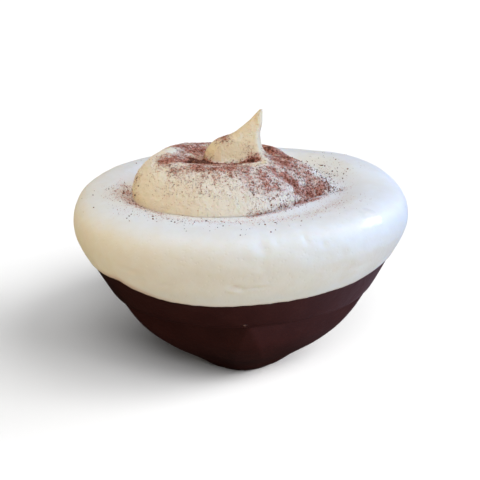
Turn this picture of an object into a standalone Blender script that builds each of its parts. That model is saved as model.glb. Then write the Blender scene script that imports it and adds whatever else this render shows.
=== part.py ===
"""A dessert in a chocolate cup: dark chocolate shell, thick white cream, and a coffee mousse drawn up to a peak.

The origin is the middle of the cup's flat foot, with +Z up and +X to the right of the front view.
The cup is a thin shell, the cream fills it and laps over its rim, and the mousse sits in a shallow
seat on the cream. Azimuths are measured from the front (-Y), positive towards +X.
"""

import math

import bmesh
import bpy

MM = 0.001
TURN = 2 * math.pi

# Cup: a foot, a tier of six flattened facets between lobes, a seam, and a plain flared band.
SEAM_HEIGHT = 23.0 * MM
SEAM_RADIUS = 32.1 * MM
SEAM_LEDGE = 0.3 * MM
SEAM_SLOPE = 0.05 * MM
FOOT_RADIUS = 8.6 * MM
TIER_OUTLINE = [  # (height, radius) of the lobes between the facets
    (0.0, FOOT_RADIUS),
    (1.6 * MM, 11.0 * MM),
    (5.0 * MM, 15.2 * MM),
    (10.0 * MM, 22.2 * MM),
    (15.5 * MM, 27.6 * MM),
    (SEAM_HEIGHT, SEAM_RADIUS),
]
BAND_CURVE = 0.95
RIM_HEIGHT = 33.6 * MM
RIM_RADIUS = 38.6 * MM
WALL = 2.1 * MM
FLOOR_THICKNESS = 3.0 * MM
FLOOR_RADIUS = 8.2 * MM
INNER_CURVE = 0.62
INNER_STEPS = 7
FACETS = 6
FACET_TOP = 21.6 * MM
COLLAR_FOOT = 21.7 * MM
FACET_FLATNESS = 0.26
FACET_FOOT_SHARE = 0.3
FRONT_LOBE_AZIMUTH = math.radians(-3.0)

# Cream: a pillow that laps over the rim, is widest above it, and has a shallow seat on top.
GAP = 0.3 * MM
LAP_BELOW_RIM = 0.9 * MM
FRONT_LAP = 2.0 * MM
FRONT_LAP_WIDTH = math.radians(40)
LIP_THICKNESS = 0.5 * MM
UNDERSIDE_SLOPE = 0.55
CREAM_RADIUS = 41.6 * MM
CREAM_WIDEST_HEIGHT = 40.8 * MM
CREAM_TOP_RADIUS = 32.0 * MM
CREAM_TOP_HEIGHT = 47.4 * MM
SHOULDER_POWER = 2.6
SEAT_RADIUS = 24.0 * MM
SEAT_HEIGHT = 45.7 * MM

# Mousse: a dome with a tail on the right, a dip round its middle, and a peak that leans to the right.
DOME_MIDDLE = (-1.2 * MM, -2.4 * MM)
DOME_REACH = [  # (azimuth in degrees, distance from the middle to the edge)
    (-180, 20.0 * MM),
    (-125, 23.5 * MM),
    (-78, 26.4 * MM),
    (-35, 21.6 * MM),
    (8, 19.4 * MM),
    (45, 18.2 * MM),
    (72, 20.4 * MM),
    (88, 25.0 * MM),
    (106, 21.0 * MM),
    (140, 19.6 * MM),
]
DOME_HEIGHT = 10.3 * MM
DOME_POWER = 3.0
DOME_STEEPNESS = 0.40
EDGE_THICKNESS = 0.4 * MM
TAIL_AZIMUTH = math.radians(86.0)
TAIL_STEEPNESS = 1.0
GROOVE_AZIMUTH = math.radians(56.0)
GROOVE_WIDTH = 2.2 * MM
GROOVE_DEPTH = 1.3 * MM
DIP_DEPTH = 1.2 * MM
PEAK_OUTLINE = [  # (height, left edge x, right edge x, half depth)
    (54.2 * MM, -8.8 * MM, 7.0 * MM, 5.6 * MM),
    (55.6 * MM, -8.2 * MM, 5.7 * MM, 4.7 * MM),
    (59.2 * MM, -5.3 * MM, 4.9 * MM, 3.3 * MM),
    (60.4 * MM, -1.7 * MM, 4.9 * MM, 2.7 * MM),
    (63.0 * MM, 1.6 * MM, 5.4 * MM, 1.6 * MM),
    (66.2 * MM, 4.8 * MM, 5.3 * MM, 0.3 * MM),
]
PEAK_RINGS = 12
PEAK_Y = -2.0 * MM

# Fineness of the meshes.
CUP_SEGMENTS = 72
MOUSSE_SEGMENTS = 56
TIER_RINGS = [0.0, 0.7 * MM, 1.6 * MM, 3.2 * MM, 5.0 * MM, 7.2 * MM, 10.0 * MM, 13.0 * MM, 16.5 * MM, FACET_TOP]
BAND_STEPS = 3
CREAM_STEPS = 6
SEAT_STEPS = 3
UNDERSIDE_SHARES = (0.5, 0.98)
DOME_SHARES = (0.999, 0.99, 0.965, 0.92, 0.85, 0.76, 0.66, 0.56, 0.48)


def azimuths(count):
    return [TURN * i / count for i in range(count)]


def place(radius, azimuth, height, middle=(0.0, 0.0)):
    return (middle[0] + radius * math.sin(azimuth), middle[1] - radius * math.cos(azimuth), height)


def smooth(share):
    share = min(1.0, max(0.0, share))
    return share * share * (3 - 2 * share)


def along(points, position):
    """Smooth value at a position between (position, value) points, by cubic pieces with averaged slopes."""
    last = len(points) - 1
    k = max(i for i in range(last) if points[i][0] <= position or i == 0)
    (x0, y0), (x1, y1) = points[k], points[k + 1]
    before, after = points[max(k - 1, 0)], points[min(k + 2, last)]
    width = x1 - x0
    slope0 = (y1 - before[1]) / (x1 - before[0]) * width
    slope1 = (after[1] - y0) / (after[0] - x0) * width
    t = min(1.0, max(0.0, (position - x0) / width))
    return (
        (2 * t**3 - 3 * t**2 + 1) * y0
        + (t**3 - 2 * t**2 + t) * slope0
        + (3 * t**2 - 2 * t**3) * y1
        + (t**3 - t**2) * slope1
    )


def bump(azimuth, middle, width):
    """1 at the middle azimuth, falling smoothly to 0 either side of it."""
    off = (azimuth - middle + math.pi) % TURN - math.pi
    return math.exp(-((off / width) ** 2))


def closed_solid(name, rings, material):
    """A closed body from rings of equal length, each end closed by a fan to its middle."""
    bm = bmesh.new()
    loops = [[bm.verts.new(point) for point in ring] for ring in rings]
    for low, high in zip(loops, loops[1:]):
        for i in range(len(low)):
            j = (i + 1) % len(low)
            bm.faces.new((low[i], low[j], high[j], high[i]))
    for loop in (loops[0], loops[-1]):
        middle = bm.verts.new([sum(v.co[axis] for v in loop) / len(loop) for axis in range(3)])
        for i in range(len(loop)):
            bm.faces.new((loop[i], loop[(i + 1) % len(loop)], middle))
    bmesh.ops.recalc_face_normals(bm, faces=bm.faces)
    mesh = bpy.data.meshes.new(name)
    bm.to_mesh(mesh)
    bm.free()
    mesh.shade_smooth()
    mesh.set_sharp_from_angle(angle=math.radians(40))
    obj = bpy.data.objects.new(name, mesh)
    obj.data.materials.append(material)
    bpy.context.collection.objects.link(obj)
    return obj


def finish(name, colour, roughness):
    material = bpy.data.materials.new(name)
    material.use_nodes = True
    shader = material.node_tree.nodes["Principled BSDF"]
    shader.inputs["Base Color"].default_value = (*colour, 1.0)
    shader.inputs["Roughness"].default_value = roughness
    shader.inputs["Metallic"].default_value = 0.0
    return material


def tier_radius(azimuth, height):
    """Radius of the lower tier: lobes, cut back by flattened facets that narrow towards the foot."""
    radius = along(TIER_OUTLINE, height)
    share = min(1.0, height / FACET_TOP)
    pitch = TURN / FACETS
    off = (azimuth - FRONT_LOBE_AZIMUTH) % pitch - pitch / 2
    half = pitch / 2 * (FACET_FOOT_SHARE + (1 - FACET_FOOT_SHARE) * share)
    if abs(off) >= half or height > FACET_TOP:
        return radius
    return radius * (1 - FACET_FLATNESS * (1 - math.cos(half) / math.cos(off)))


def band_radius(height):
    share = (height - SEAM_HEIGHT) / (RIM_HEIGHT - SEAM_HEIGHT)
    low = SEAM_RADIUS + SEAM_LEDGE
    return low + (RIM_RADIUS - low) * max(0.0, share) ** BAND_CURVE


def inner_profile():
    """(height, radius) down the inside of the cup, from just under the rim to the floor."""
    top = RIM_RADIUS - WALL
    profile = []
    for step in range(INNER_STEPS + 1):
        share = (1 - step / INNER_STEPS) ** 1.5
        height = FLOOR_THICKNESS + (RIM_HEIGHT - FLOOR_THICKNESS) * share
        profile.append((height, FLOOR_RADIUS + (top - FLOOR_RADIUS) * share**INNER_CURVE))
    return profile


def cup_rings():
    turns = azimuths(CUP_SEGMENTS)
    rings = []
    for height in [*TIER_RINGS, COLLAR_FOOT, SEAM_HEIGHT]:
        rings.append([place(tier_radius(a, height), a, height) for a in turns])
    band_foot = SEAM_HEIGHT + SEAM_SLOPE
    for step in range(BAND_STEPS + 1):
        height = band_foot + (RIM_HEIGHT - band_foot) * step / BAND_STEPS
        rings.append([place(band_radius(height), a, height) for a in turns])
    for height, radius in inner_profile():
        rings.append([place(radius, a, height) for a in turns])
    return rings


def sway(azimuth):
    """How far the cream wanders out from a true circle, and up from a level top."""
    out = 0.3 * math.sin(azimuth + 0.4) + 0.3 * math.sin(2 * azimuth + 1.1) + 0.2 * math.sin(3 * azimuth - 0.5)
    up = 0.2 * math.sin(3 * azimuth + 0.7) - 0.4 * math.cos(azimuth)
    return out * MM, up * MM


def lap_height(azimuth):
    """Height the cream comes down to on the outside of the cup, lowest at the front."""
    off = (azimuth + math.pi) % TURN - math.pi
    return RIM_HEIGHT - LAP_BELOW_RIM - FRONT_LAP * math.exp(-((off / FRONT_LAP_WIDTH) ** 4))


def cream_top(radius, azimuth):
    """Height of the cream's top between its seat and its shoulder."""
    out, up = sway(azimuth)
    top_radius, top_height = CREAM_TOP_RADIUS + out, CREAM_TOP_HEIGHT + up
    share = smooth((top_radius - radius) / (top_radius - SEAT_RADIUS))
    return top_height + (SEAT_HEIGHT - top_height) * share


def cream_section(azimuth):
    """Outer outline of the cream at one azimuth, from its lap on the cup up to the edge of the seat."""
    out, up = sway(azimuth)
    lap = lap_height(azimuth)
    edge = band_radius(lap) + GAP + LIP_THICKNESS
    wide, wide_height = CREAM_RADIUS + out, CREAM_WIDEST_HEIGHT + up
    top, top_height = CREAM_TOP_RADIUS + out, CREAM_TOP_HEIGHT + up
    section = []
    turn_height = min(wide_height, lap + (wide - edge) / UNDERSIDE_SLOPE)
    for step in range(CREAM_STEPS):
        t = step / CREAM_STEPS
        radius = (1 - t) ** 2 * edge + 2 * t * (1 - t) * wide + t * t * wide
        height = (1 - t) ** 2 * lap + 2 * t * (1 - t) * turn_height + t * t * wide_height
        section.append((radius, height))
    for step in range(CREAM_STEPS):
        angle = math.pi / 2 * step / CREAM_STEPS
        across = math.cos(angle) ** (2 / SHOULDER_POWER)
        upward = math.sin(angle) ** (2 / SHOULDER_POWER)
        section.append((top + (wide - top) * across, wide_height + (top_height - wide_height) * upward))
    for step in range(SEAT_STEPS + 1):
        radius = top + (SEAT_RADIUS - top) * step / SEAT_STEPS
        section.append((radius, cream_top(radius, azimuth)))
    return section


def cream_rings():
    turns = azimuths(CUP_SEGMENTS)
    rings = []
    for height, radius in reversed(inner_profile()):
        rings.append([place(radius - GAP, a, height + GAP) for a in turns])
    over = RIM_HEIGHT + GAP
    rings.append([place(RIM_RADIUS + GAP, a, over) for a in turns])
    rings.append([place(band_radius(lap_height(a)) + 1.2 * GAP, a, lap_height(a)) for a in turns])
    sections = [cream_section(a) for a in turns]
    for level in range(len(sections[0])):
        rings.append([place(s[level][0], a, s[level][1]) for s, a in zip(sections, turns)])
    return rings


def dome_reach(azimuth):
    """Distance from the dome's middle to its edge."""
    degrees = (math.degrees(azimuth) + 180) % 360 - 180
    before = (DOME_REACH[-1][0] - 360, DOME_REACH[-1][1])
    after = [(turn + 360, reach) for turn, reach in DOME_REACH[:2]]
    return along([before, *DOME_REACH, *after], degrees)


def dome_point(azimuth, share, rise=0.0):
    """A point a share of the way out to the dome's edge, at a rise above its underside."""
    x, y, _ = place(dome_reach(azimuth), azimuth, 0.0, DOME_MIDDLE)
    edge_lift = cream_top(math.hypot(x, y), math.atan2(x, -y)) - SEAT_HEIGHT
    height = SEAT_HEIGHT + GAP + edge_lift * smooth(share) + rise
    return place(dome_reach(azimuth) * share, azimuth, height, DOME_MIDDLE)


def dome_rise(azimuth, share):
    """Rise from the seat: steep all round but for the tail, with a groove beside it and a dip in the middle."""
    steepness = DOME_STEEPNESS + (TAIL_STEEPNESS - DOME_STEEPNESS) * bump(azimuth, TAIL_AZIMUTH, 0.55)
    rise = EDGE_THICKNESS + DOME_HEIGHT * (1 - share**DOME_POWER) ** steepness
    across = share * dome_reach(azimuth) * math.sin(azimuth - GROOVE_AZIMUTH)
    if math.cos(azimuth - GROOVE_AZIMUTH) > 0:
        rise -= GROOVE_DEPTH * math.exp(-((across / GROOVE_WIDTH) ** 2)) * smooth(share) * (1 - share**8)
    return rise - DIP_DEPTH * (1 - smooth((share - 0.40) / 0.25))


def mousse_rings():
    turns = azimuths(MOUSSE_SEGMENTS)
    rings = [[dome_point(a, share) for a in turns] for share in UNDERSIDE_SHARES]
    for share in DOME_SHARES:
        rings.append([dome_point(a, share, dome_rise(a, share)) for a in turns])
    foot, tip = PEAK_OUTLINE[0][0], PEAK_OUTLINE[-1][0]
    for step in range(PEAK_RINGS + 1):
        height = foot + (tip - foot) * step / PEAK_RINGS
        left, right, half_depth = (along([(row[0], row[k]) for row in PEAK_OUTLINE], height) for k in (1, 2, 3))
        middle, half_width = (left + right) / 2, (right - left) / 2
        ring = [(middle + half_width * math.sin(a), PEAK_Y - half_depth * math.cos(a), height) for a in turns]
        rings.append(ring)
    return rings


def main():
    for obj in list(bpy.data.objects):
        bpy.data.objects.remove(obj, do_unlink=True)
    closed_solid("chocolate_cup", cup_rings(), finish("dark_chocolate", (0.035, 0.016, 0.013), 0.4))
    closed_solid("white_cream", cream_rings(), finish("white_cream", (0.84, 0.79, 0.68), 0.45))
    closed_solid("coffee_mousse", mousse_rings(), finish("coffee_mousse", (0.70, 0.55, 0.36), 0.6))


main()
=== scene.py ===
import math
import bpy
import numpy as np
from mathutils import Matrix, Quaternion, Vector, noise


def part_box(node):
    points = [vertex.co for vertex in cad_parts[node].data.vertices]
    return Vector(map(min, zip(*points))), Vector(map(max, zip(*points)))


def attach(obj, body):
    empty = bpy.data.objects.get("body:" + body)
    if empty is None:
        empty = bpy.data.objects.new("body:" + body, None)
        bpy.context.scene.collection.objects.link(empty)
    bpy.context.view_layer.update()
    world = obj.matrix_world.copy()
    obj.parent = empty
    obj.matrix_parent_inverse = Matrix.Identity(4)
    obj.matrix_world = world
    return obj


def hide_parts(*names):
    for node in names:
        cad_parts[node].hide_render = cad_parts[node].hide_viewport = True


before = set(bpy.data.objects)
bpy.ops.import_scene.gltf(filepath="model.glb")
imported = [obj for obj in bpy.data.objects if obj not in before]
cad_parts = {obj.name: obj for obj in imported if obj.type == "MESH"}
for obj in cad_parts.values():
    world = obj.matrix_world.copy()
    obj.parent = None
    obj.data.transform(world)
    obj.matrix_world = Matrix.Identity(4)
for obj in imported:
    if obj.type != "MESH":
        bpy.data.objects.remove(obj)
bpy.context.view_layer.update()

# A dark chocolate cup filled with white cream, with a peak of pale coffee mousse dusted with cocoa.
# Shapes are worked out in millimetres and stored in metres, +Z up, the front towards -Y.
# A turn is an angle round the middle, from the front and positive towards +X.

mm = 0.001
circle = 2 * math.pi
cupLow, cupHigh = (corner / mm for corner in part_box("chocolate_cup"))
creamLow, creamHigh = (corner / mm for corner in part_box("white_cream"))
mousseLow, mousseHigh = (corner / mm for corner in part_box("coffee_mousse"))
rimHeight = cupHigh.z
rimRadius = (cupHigh.x - cupLow.x) / 2


# numbers

def smoothStep(share):
    share = np.clip(share, 0.0, 1.0)
    return share * share * (3 - 2 * share)


def fade(distance, width):
    return np.exp(-((distance / width) ** 2))


def through(points, where):
    # a smooth curve through (where, value) points
    at = np.array([p[0] for p in points], float)
    values = np.array([p[1] for p in points], float)
    slopes = np.empty_like(values)
    slopes[1:-1] = (values[2:] - values[:-2]) / (at[2:] - at[:-2])
    slopes[0] = (values[1] - values[0]) / (at[1] - at[0])
    slopes[-1] = (values[-1] - values[-2]) / (at[-1] - at[-2])
    k = np.clip(np.searchsorted(at, where, side="right") - 1, 0, len(at) - 2)
    width = at[k + 1] - at[k]
    t = np.clip((where - at[k]) / width, 0.0, 1.0)
    value = (2 * t**3 - 3 * t**2 + 1) * values[k] + (3 * t**2 - 2 * t**3) * values[k + 1]
    return value + width * ((t**3 - 2 * t**2 + t) * slopes[k] + (t**3 - t**2) * slopes[k + 1])


def roundTurn(points, turn):
    # the same for (degrees, value) points that go all the way round
    before = [(at - 360, value) for at, value in points[-2:]]
    after = [(at + 360, value) for at, value in points[:2]]
    return through(before + list(points) + after, (np.degrees(turn) + 180) % 360 - 180)


def onCircle(radius, turn, height):
    return np.stack([radius * np.sin(turn), -radius * np.cos(turn), height + 0 * turn * radius], axis=-1)


def lumps(points, size, seed):
    # soft noise from -1 to 1, with lumps about as wide as size
    flat = points.reshape(-1, 3) / size + seed
    return np.array([noise.noise(p) for p in flat.tolist()]).reshape(points.shape[:-1])


def pathDistance(x, y, path):
    # distance from every (x, y) to a line of points, and the share of the way along it
    best = np.full(np.shape(x), 1e9)
    share = np.zeros(np.shape(x))
    for k in range(len(path) - 1):
        ax, ay = path[k][:2]
        bx, by = path[k + 1][:2]
        t = ((x - ax) * (bx - ax) + (y - ay) * (by - ay)) / ((bx - ax) ** 2 + (by - ay) ** 2)
        t = np.clip(t, 0.0, 1.0)
        away = np.hypot(x - ax - t * (bx - ax), y - ay - t * (by - ay))
        nearer = away < best
        best = np.where(nearer, away, best)
        share = np.where(nearer, (k + t) / (len(path) - 1), share)
    return best, share


# meshes

def outward(grid):
    # outward directions on rows of points that go all round, from the bottom row to the top one
    across = np.roll(grid, -1, axis=1) - np.roll(grid, 1, axis=1)
    direction = np.cross(across, np.gradient(grid, axis=0))
    return direction / np.maximum(np.linalg.norm(direction, axis=-1, keepdims=True), 1e-12)


def closedRings(name, grid, masks):
    # a closed mesh from rows of points, with a pole at each end and a value per point for each mask
    rows, columns = grid.shape[:2]
    poles = [grid[0].mean(axis=0), grid[-1].mean(axis=0)]
    points = np.vstack([grid.reshape(-1, 3), poles]) * mm
    around = np.arange(columns)
    beside = (around + 1) % columns
    faces = []
    for row in range(rows - 1):
        low, high = row * columns, (row + 1) * columns
        faces.extend(np.stack([low + around, low + beside, high + beside, high + around], axis=1).tolist())
    last = (rows - 1) * columns
    faces.extend(np.stack([beside, around, np.full(columns, rows * columns)], axis=1).tolist())
    faces.extend(np.stack([last + around, last + beside, np.full(columns, rows * columns + 1)], axis=1).tolist())
    mesh = bpy.data.meshes.new(name)
    mesh.from_pydata(points.tolist(), [], faces)
    for label, values in masks.items():
        layer = mesh.attributes.new(label, "FLOAT", "POINT")
        layer.data.foreach_set("value", np.append(values.reshape(-1), [values[0].mean(), values[-1].mean()]))
    mesh.shade_smooth()
    return addObject(name, mesh)


def addObject(name, data):
    made = bpy.data.objects.new(name, data)
    bpy.context.scene.collection.objects.link(made)
    return made


# node trees

def feed(tree, socket, value):
    if isinstance(value, bpy.types.NodeSocket):
        tree.links.new(value, socket)
    else:
        socket.default_value = value


def addNode(tree, kind, inputs=None, **settings):
    made = tree.nodes.new(kind)
    for key, value in settings.items():
        setattr(made, key, value)
    for key, value in (inputs or {}).items():
        feed(tree, made.inputs[key], value)
    return made


def calc(tree, operation, *values):
    made = tree.nodes.new("ShaderNodeMath")
    made.operation = operation
    for socket, value in zip(made.inputs, values):
        feed(tree, socket, value)
    return made.outputs[0]


def ramp(tree, value, low, high, fromLow=0.0, fromHigh=1.0):
    # value read between low and high, eased at both ends
    inputs = {"Value": value, "From Min": low, "From Max": high, "To Min": fromLow, "To Max": fromHigh}
    return addNode(tree, "ShaderNodeMapRange", inputs, interpolation_type="SMOOTHSTEP").outputs[0]


def mixColour(tree, share, first, second):
    made = addNode(tree, "ShaderNodeMix", data_type="RGBA")
    for key, value in ((0, share), (6, first), (7, second)):
        feed(tree, made.inputs[key], value)
    return made.outputs[2]


def noiseNode(tree, place, size, detail=2.0, roughness=0.5):
    inputs = {"Vector": place, "Scale": 1 / (size * mm), "Detail": detail, "Roughness": roughness}
    return addNode(tree, "ShaderNodeTexNoise", inputs).outputs["Fac"]


def newTree(name, kind, inputs, outputs):
    tree = bpy.data.node_groups.new(name, kind)
    for label, socketType in inputs.items():
        tree.interface.new_socket(label, in_out="INPUT", socket_type="NodeSocket" + socketType)
    for label, socketType in outputs.items():
        tree.interface.new_socket(label, in_out="OUTPUT", socket_type="NodeSocket" + socketType)
    return tree, tree.nodes.new("NodeGroupInput").outputs, tree.nodes.new("NodeGroupOutput").inputs


def runTree(name, tree, startMesh, values):
    # evaluates a geometry tree and keeps what it makes as a plain mesh
    host = addObject(name + "_start", startMesh)
    live = host.modifiers.new(tree.name, "NODES")
    live.node_group = tree
    for item in tree.interface.items_tree:
        if item.in_out == "INPUT" and item.name in values:
            live[item.identifier] = values[item.name]
    bpy.context.view_layer.update()
    ready = host.evaluated_get(bpy.context.evaluated_depsgraph_get())
    mesh = bpy.data.meshes.new_from_object(ready)
    host.modifiers.clear()
    bpy.data.objects.remove(host)
    mesh.name = name
    return addObject(name, mesh)


def sampleAt(tree, geometry, value, index, dataType):
    inputs = {"Geometry": geometry, "Value": value, "Index": index}
    return addNode(tree, "GeometryNodeSampleIndex", inputs, data_type=dataType).outputs[0]


def finishTree(tree, sink, geometry, material):
    solid = addNode(tree, "GeometryNodeRealizeInstances", {"Geometry": geometry}).outputs[0]
    done = addNode(tree, "GeometryNodeSetMaterial", {"Geometry": solid, "Material": material}).outputs[0]
    tree.links.new(done, sink["Geometry"])


def newMaterial(name, settings):
    made = bpy.data.materials.new(name)
    made.use_nodes = True
    shader = made.node_tree.nodes["Principled BSDF"]
    for label, value in settings.items():
        shader.inputs[label].default_value = value
    return made, made.node_tree, shader


def attribute(tree, label):
    return addNode(tree, "ShaderNodeAttribute", attribute_name=label).outputs["Fac"]


def bumpNode(tree, height, distance, strength=1.0):
    return addNode(tree, "ShaderNodeBump", {"Height": height, "Distance": distance * mm, "Strength": strength}).outputs[0]


# shader groups that more than one material uses

def makeDustGroup():
    # cocoa dust lying on a surface: fine specks that close up where the density is high, and past a density of about
    # 1.1 a painted shade that pulls it towards black
    tree, source, sink = newTree(
        "cocoaDust", "ShaderNodeTree",
        {"Density": "Float", "Speck Scale": "Float", "Light Cocoa": "Color", "Dark Cocoa": "Color"},
        {"Mask": "Float", "Colour": "Color"})
    place = addNode(tree, "ShaderNodeTexCoord").outputs["Object"]
    scale = source["Speck Scale"]
    specks = addNode(tree, "ShaderNodeTexNoise",
                     {"Vector": place, "Scale": scale, "Detail": 3.0, "Roughness": 0.65, "Distortion": 0.8}).outputs["Fac"]
    patches = addNode(tree, "ShaderNodeTexNoise",
                      {"Vector": place, "Scale": calc(tree, "MULTIPLY", scale, 0.22), "Detail": 2.0}).outputs["Fac"]
    level = calc(tree, "MULTIPLY_ADD", specks, 3.0, source["Density"])
    level = calc(tree, "MULTIPLY_ADD", patches, 0.8, level)
    cover = ramp(tree, level, 2.20, 2.72)
    present = calc(tree, "MINIMUM", calc(tree, "MULTIPLY", source["Density"], 12.0), 1.0)
    cover = calc(tree, "MULTIPLY", cover, present)
    turned = addNode(tree, "ShaderNodeMapping", {"Vector": place, "Location": (0.011, 0.007, 0.003)}).outputs[0]
    tone = addNode(tree, "ShaderNodeTexNoise",
                   {"Vector": turned, "Scale": scale, "Detail": 3.0, "Distortion": 0.5}).outputs["Fac"]
    shade = calc(tree, "MULTIPLY_ADD", ramp(tree, source["Density"], 0.7, 1.4), 0.75, ramp(tree, tone, 0.44, 0.57))
    colour = mixColour(tree, calc(tree, "MINIMUM", shade, 1.0), source["Light Cocoa"], source["Dark Cocoa"])
    # painted shade: past a density of about 1.1 the dust goes towards black, for the shade in the hollow by the peak's
    # foot and in the valley in front of the ridge, over thick cocoa there
    thickDustAndShade = addNode(tree, "ShaderNodeMix", {0: ramp(tree, source["Density"], 1.12, 1.4, 0.0, 0.7)}, data_type="RGBA")
    feed(tree, thickDustAndShade.inputs[6], colour)
    feed(tree, thickDustAndShade.inputs[7], (0.0, 0.0, 0.0, 1.0))
    colour = thickDustAndShade.outputs[2]
    haze = ramp(tree, source["Density"], 0.05, 0.85, 0.0, 0.55)
    cover = calc(tree, "MAXIMUM", cover, haze)
    tree.links.new(cover, sink["Mask"])
    tree.links.new(colour, sink["Colour"])
    return tree


def makeWhippedGroup():
    # what whipped cream and mousse share: tiny bubbles and soft swirls, as a height and a tone
    tree, source, sink = newTree(
        "whippedFood", "ShaderNodeTree",
        {"Bubble Scale": "Float", "Swirl Scale": "Float"},
        {"Height": "Float", "Tone": "Float"})
    place = addNode(tree, "ShaderNodeTexCoord").outputs["Object"]
    bubbles = addNode(tree, "ShaderNodeTexVoronoi", {"Vector": place, "Scale": source["Bubble Scale"]})
    pits = ramp(tree, bubbles.outputs["Distance"], 0.0, 0.35)
    fine = addNode(tree, "ShaderNodeTexNoise",
                   {"Vector": place, "Scale": calc(tree, "MULTIPLY", source["Bubble Scale"], 0.45), "Detail": 4.0}).outputs["Fac"]
    swirls = addNode(tree, "ShaderNodeTexNoise",
                     {"Vector": place, "Scale": source["Swirl Scale"], "Detail": 3.0, "Distortion": 0.6}).outputs["Fac"]
    height = calc(tree, "MULTIPLY_ADD", pits, 0.35, calc(tree, "ADD", fine, swirls))
    tree.links.new(height, sink["Height"])
    tree.links.new(calc(tree, "MULTIPLY_ADD", fine, 0.4, calc(tree, "MULTIPLY", swirls, 0.6)), sink["Tone"])
    return tree


cocoaDust = makeDustGroup()
whippedFood = makeWhippedGroup()


def dusted(tree, shader, plainColour, density, scale, roughness):
    # lays cocoa dust over a food's own colour and returns the dust mask
    dust = addNode(tree, "ShaderNodeGroup", node_tree=cocoaDust)
    dustValues = {"Density": density, "Speck Scale": scale, "Light Cocoa": cocoa["light"], "Dark Cocoa": cocoa["dark"]}
    for label, value in dustValues.items():
        feed(tree, dust.inputs[label], value)
    colour = mixColour(tree, dust.outputs["Mask"], plainColour, dust.outputs["Colour"])
    tree.links.new(colour, shader.inputs["Base Color"])
    rough = addNode(tree, "ShaderNodeMix", {0: dust.outputs["Mask"]}, data_type="FLOAT")
    feed(tree, rough.inputs[2], roughness)
    feed(tree, rough.inputs[3], 0.95)
    tree.links.new(rough.outputs[0], shader.inputs["Roughness"])
    return dust.outputs["Mask"]


# the chocolate cup: a foot, a tier of flattened facets between lobes, a seam, and a plain flared band

cup = {
    "tier": [(0, 8.6), (1.6, 11.0), (5.0, 15.2), (10.0, 22.1), (15.5, 27.8), (23.9, 33.4)],  # height, radius
    "facets": 6,
    "frontLobe": 2.0,          # degrees
    "facetTop": 23.3,
    "facetFoot": 0.50,          # how wide a facet is at the foot, as a share of its top
    "flatness": 0.95,
    "seamHeight": 23.9,
    "seamRadius": 33.4,
    "seamLedge": 0.12,
    "seamGroove": 0.18,
    "bandCurve": 0.95,
    "wall": 2.1,
    "floor": 3.0,
    "floorRadius": 8.2,
    "innerCurve": 0.85,
    "edgeRounding": 0.5,
    "unevenness": 0.16,
    "unevenSize": 9.0,
    "turns": 320,
}


def bandRadius(height):
    low = cup["seamRadius"] + cup["seamLedge"]
    share = np.maximum(0.0, (height - cup["seamHeight"]) / (rimHeight - cup["seamHeight"]))
    return low + (rimRadius - low) * share ** cup["bandCurve"]


def innerWall(share):
    # radius and height down the inside, from the floor (0) to the rim (1)
    height = cup["floor"] + (rimHeight - cup["floor"]) * share
    return cup["floorRadius"] + (rimRadius - cup["wall"] - cup["floorRadius"]) * share ** cup["innerCurve"], height


def cupSection():
    # (radius, height, facet) from the middle of the foot, up the outside and down the inside
    section = [(r, 0.0, 0.0) for r in np.linspace(0.0, cup["tier"][0][1] - 0.5, 6)]
    foot = cup["tier"][0][1]
    for angle in np.linspace(0, math.pi / 2, 5)[1:]:
        section.append((foot - 0.5 + 0.75 * math.sin(angle), 0.5 * (1 - math.cos(angle)), 0.0))
    for height in np.linspace(0.8, cup["facetTop"], 54):
        section.append((float(through(cup["tier"], height)), height, 1.0))
    for height in np.linspace(cup["facetTop"] + 0.06, cup["seamHeight"] - 0.40, 5):
        section.append((float(through(cup["tier"], height)), height, 0.0))
    seam, ledge = cup["seamHeight"], cup["seamRadius"] + cup["seamLedge"]
    section += [(cup["seamRadius"] - cup["seamGroove"], seam - 0.25, 0.0),
                (cup["seamRadius"] - cup["seamGroove"], seam - 0.05, 0.0), (cup["seamRadius"] + 0.02, seam, 0.0),
                (ledge - 0.05, seam - 0.02, 0.0), (ledge + 0.02, seam + 0.12, 0.0)]
    for height in np.linspace(seam + 0.4, rimHeight - cup["edgeRounding"], 20):
        section.append((float(bandRadius(height)), height, 0.0))
    edge, rim = float(bandRadius(rimHeight - cup["edgeRounding"])), cup["edgeRounding"]
    for angle in np.linspace(0, math.pi / 2, 5)[1:]:
        section.append((edge - rim * (1 - math.cos(angle)), rimHeight - rim + rim * math.sin(angle), 0.0))
    for share in np.linspace(1, 0, 22) ** 1.5:
        radius, height = innerWall(share)
        section.append((float(radius), float(height), 0.0))
    section += [(r, cup["floor"], 0.0) for r in np.linspace(cup["floorRadius"] - 1.0, 0.0, 5)]
    return np.array(section)


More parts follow.
